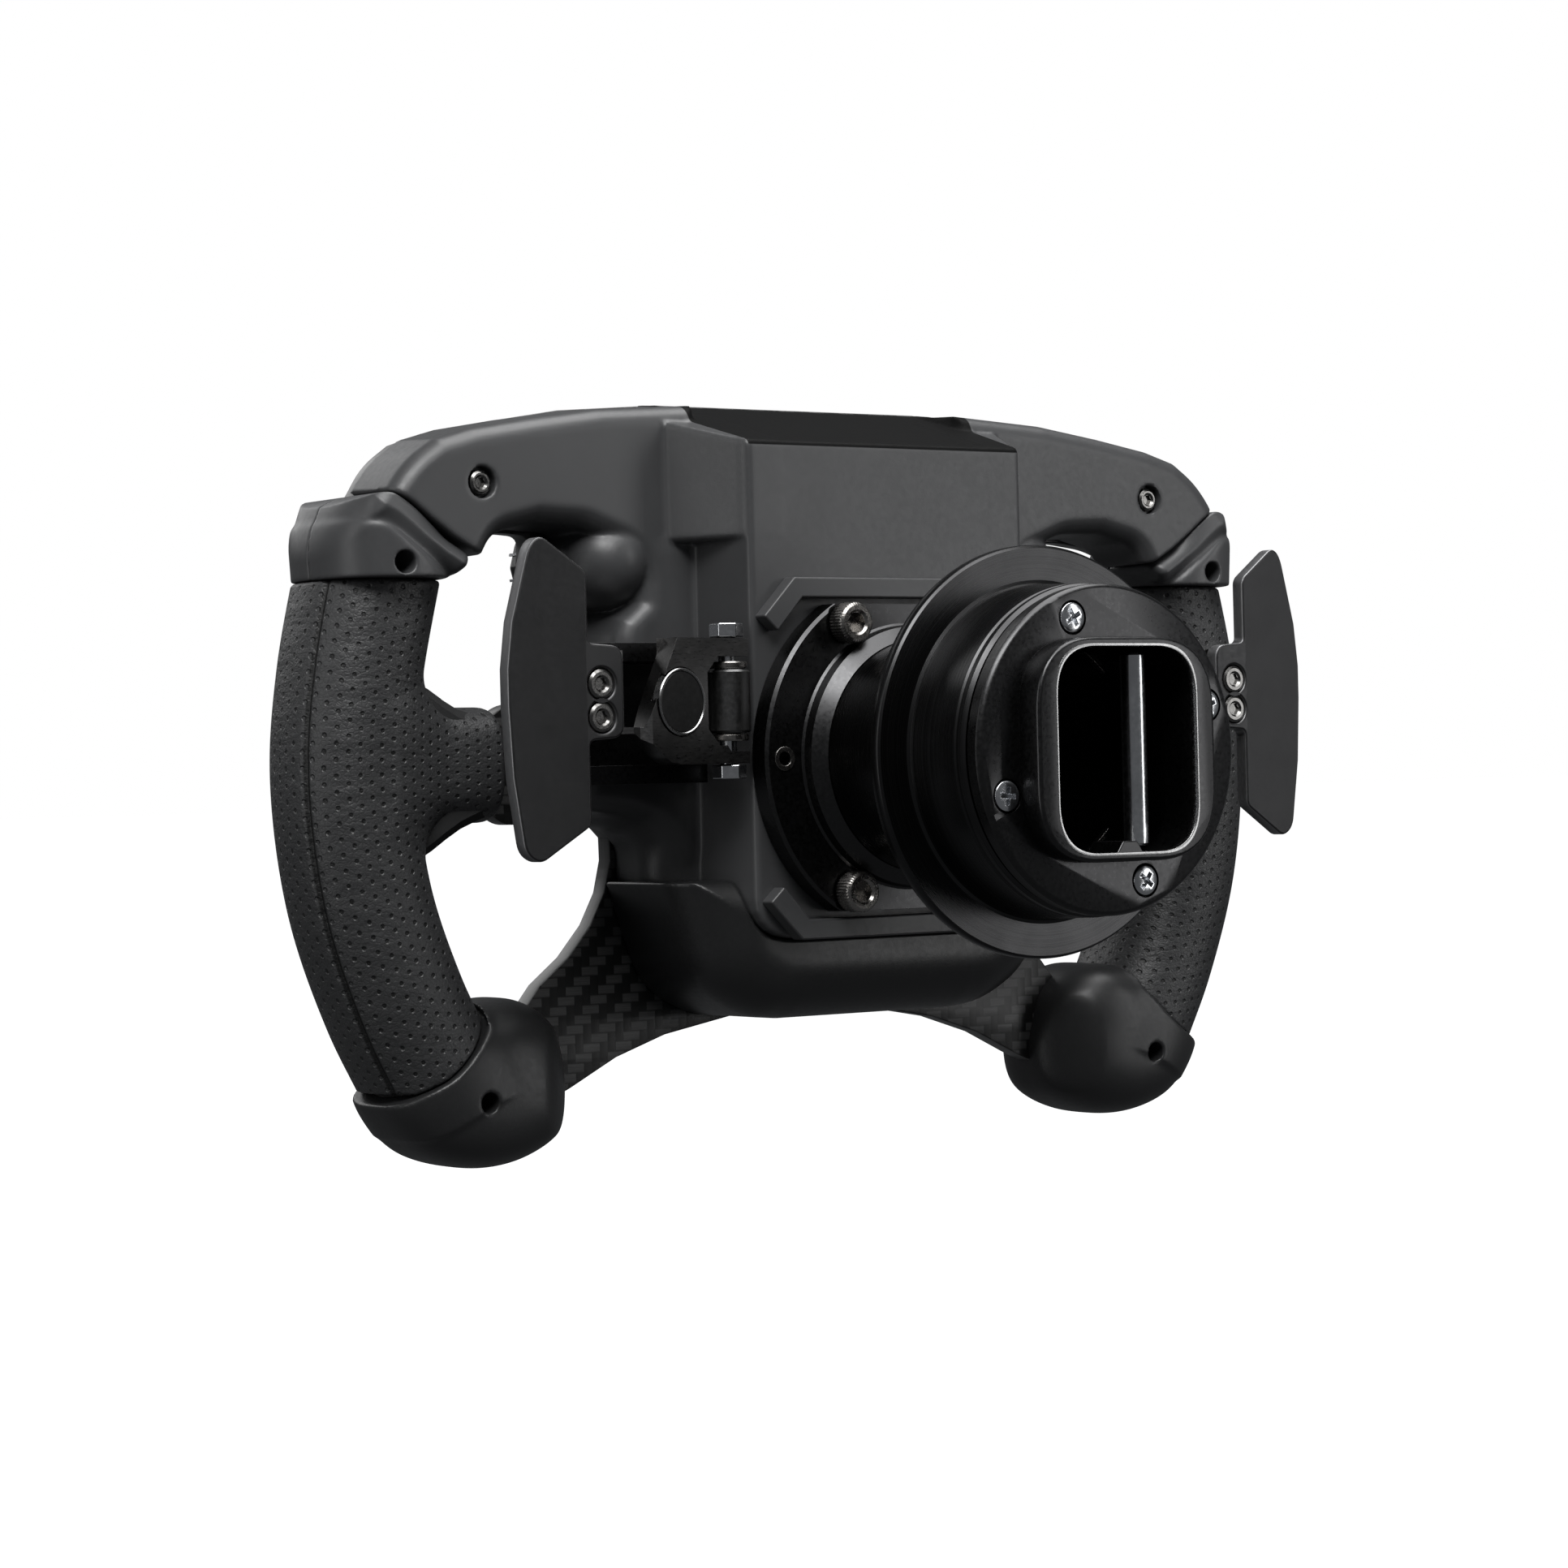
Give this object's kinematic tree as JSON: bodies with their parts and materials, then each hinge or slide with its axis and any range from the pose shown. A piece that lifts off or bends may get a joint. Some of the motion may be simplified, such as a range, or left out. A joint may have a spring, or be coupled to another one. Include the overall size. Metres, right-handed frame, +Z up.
{
  "type": "racing steering wheel",
  "caption": "Flat-plate formula-style sim-racing wheel with leather grips, shift paddles, switches and a quick-release hub.",
  "frame": {"origin": "on the rotation axis, in the plane of the quick-release socket's mouth", "axes": "+Y along the rotation axis towards the wheelbase, +Z up, +X to the driver's right"},
  "size_m": [0.2726, 0.1407, 0.1727],
  "materials": {
    "leather": "perforated black leather, matt",
    "foam": "moulded foam",
    "shell_grey": "satin dark grey moulded plastic",
    "black_plastic": "satin black moulded plastic",
    "carbon": "twill carbon-fibre laminate, satin clear coat",
    "screen": "black cover glass",
    "board": "circuit board",
    "anodised": "black anodised aluminium with turned edges",
    "dark_nickel": "dark nickel-plated steel",
    "bright_zinc": "bright zinc-plated steel",
    "brushed_steel": "dark brushed steel",
    "paddle_metal": "fine matt grey metal sheet",
    "button_grey": "grey button cap",
    "button_red": "red button cap",
    "button_black": "black button cap"
  },
  "bodies": {
    "wheel": {"face_plate": "carbon", "rear_shell": "shell_grey", "lower_cover": "shell_grey", "display_module": "screen", "shift_light_bar": "black_plastic", "main_board": "board", "hub_flange": "anodised", "hub_tube": "anodised", "retaining_ring": "dark_nickel", "lock_spring": "bright_zinc", "socket_plate": "anodised", "latch_pin": "bright_zinc", "contact_block": "black_plastic", "grip_cover_right": "leather", "grip_core_right": "foam", "upper_cap_rear_right": "shell_grey", "upper_cap_front_right": "black_plastic", "lower_cap_right": "black_plastic", "top_screw_right": "black_plastic", "paddle_bracket_right": "anodised", "pivot_pin_right": "dark_nickel", "grip_cover_left": "leather", "grip_core_left": "foam", "upper_cap_rear_left": "shell_grey", "upper_cap_front_left": "black_plastic", "lower_cap_left": "black_plastic", "top_screw_left": "black_plastic", "paddle_bracket_left": "anodised", "pivot_pin_left": "dark_nickel", "hub_bolt_1": "dark_nickel", "hub_bolt_2": "dark_nickel", "hub_bolt_3": "dark_nickel", "hub_bolt_4": "dark_nickel", "socket_screw_1": "bright_zinc", "socket_screw_2": "bright_zinc", "socket_screw_3": "bright_zinc", "socket_screw_4": "bright_zinc"},
    "lock_sleeve": {"lock_sleeve": "anodised"},
    "paddle_right": {"paddle_lever_right": "brushed_steel", "paddle_magnet_right": "dark_nickel", "shift_paddle_right": "paddle_metal", "paddle_screw_1_right": "dark_nickel", "paddle_screw_2_right": "dark_nickel"},
    "knob_right": {"rotary_knob_right": "black_plastic"},
    "encoder_right": {"thumb_encoder_right": "black_plastic"},
    "button_right_1": {"push_button_right_1": "button_grey"},
    "button_right_2": {"push_button_right_2": "button_red"},
    "button_right_3": {"push_button_right_3": "button_black"},
    "toggle_right": {"toggle_switch_right": "bright_zinc"},
    "paddle_left": {"paddle_lever_left": "brushed_steel", "paddle_magnet_left": "dark_nickel", "shift_paddle_left": "paddle_metal", "paddle_screw_1_left": "dark_nickel", "paddle_screw_2_left": "dark_nickel"},
    "knob_left": {"rotary_knob_left": "black_plastic"},
    "encoder_left": {"thumb_encoder_left": "black_plastic"},
    "button_left_1": {"push_button_left_1": "button_grey"},
    "button_left_2": {"push_button_left_2": "button_red"},
    "button_left_3": {"push_button_left_3": "button_black"},
    "toggle_left": {"toggle_switch_left": "bright_zinc"}
  },
  "joints": [
    {"name": "lock_sleeve_slide", "type": "slide", "parent": "wheel", "child": "lock_sleeve", "axis": [0, -1, 0], "range_m": [0, 0.008], "stiffness_N_per_m": 2500, "springref_m": -0.002, "deforming": ["lock_spring"]},
    {"name": "paddle_right_pull", "type": "hinge", "parent": "wheel", "child": "paddle_right", "pos_m": [0.0472, -0.0812, 0.0129], "axis": [0, 0, -1], "range_deg": [0, 5], "stiffness_Nm_per_rad": 2, "springref_deg": -1.72},
    {"name": "knob_right_turn", "type": "hinge", "parent": "wheel", "child": "knob_right", "pos_m": [0.059, -0.1315, 0.0455], "axis": [0, 1, 0], "range_deg": [-165, 165]},
    {"name": "encoder_right_roll", "type": "hinge", "parent": "wheel", "child": "encoder_right", "pos_m": [0.064, -0.1197, 0], "axis": [1, 0, 0], "continuous": true},
    {"name": "button_right_1_press", "type": "slide", "parent": "wheel", "child": "button_right_1", "axis": [0, 1, 0], "range_m": [0, 0.001], "stiffness_N_per_m": 400, "springref_m": -0.001},
    {"name": "button_right_2_press", "type": "slide", "parent": "wheel", "child": "button_right_2", "axis": [0, 1, 0], "range_m": [0, 0.001], "stiffness_N_per_m": 400, "springref_m": -0.001},
    {"name": "button_right_3_press", "type": "slide", "parent": "wheel", "child": "button_right_3", "axis": [0, 1, 0], "range_m": [0, 0.001], "stiffness_N_per_m": 400, "springref_m": -0.001},
    {"name": "toggle_right_flick", "type": "hinge", "parent": "wheel", "child": "toggle_right", "pos_m": [0.024, -0.1245, -0.022], "axis": [1, 0, 0], "range_deg": [-12, 12], "stiffness_Nm_per_rad": 0.08},
    {"name": "paddle_left_pull", "type": "hinge", "parent": "wheel", "child": "paddle_left", "pos_m": [-0.0472, -0.0812, 0.0129], "axis": [0, 0, 1], "range_deg": [0, 5], "stiffness_Nm_per_rad": 2, "springref_deg": -1.72},
    {"name": "knob_left_turn", "type": "hinge", "parent": "wheel", "child": "knob_left", "pos_m": [-0.059, -0.1315, 0.0455], "axis": [0, 1, 0], "range_deg": [-165, 165]},
    {"name": "encoder_left_roll", "type": "hinge", "parent": "wheel", "child": "encoder_left", "pos_m": [-0.064, -0.1197, 0], "axis": [1, 0, 0], "continuous": true},
    {"name": "button_left_1_press", "type": "slide", "parent": "wheel", "child": "button_left_1", "axis": [0, 1, 0], "range_m": [0, 0.001], "stiffness_N_per_m": 400, "springref_m": -0.001},
    {"name": "button_left_2_press", "type": "slide", "parent": "wheel", "child": "button_left_2", "axis": [0, 1, 0], "range_m": [0, 0.001], "stiffness_N_per_m": 400, "springref_m": -0.001},
    {"name": "button_left_3_press", "type": "slide", "parent": "wheel", "child": "button_left_3", "axis": [0, 1, 0], "range_m": [0, 0.001], "stiffness_N_per_m": 400, "springref_m": -0.001},
    {"name": "toggle_left_flick", "type": "hinge", "parent": "wheel", "child": "toggle_left", "pos_m": [-0.024, -0.1245, -0.022], "axis": [1, 0, 0], "range_deg": [-12, 12], "stiffness_Nm_per_rad": 0.08}
  ]
}
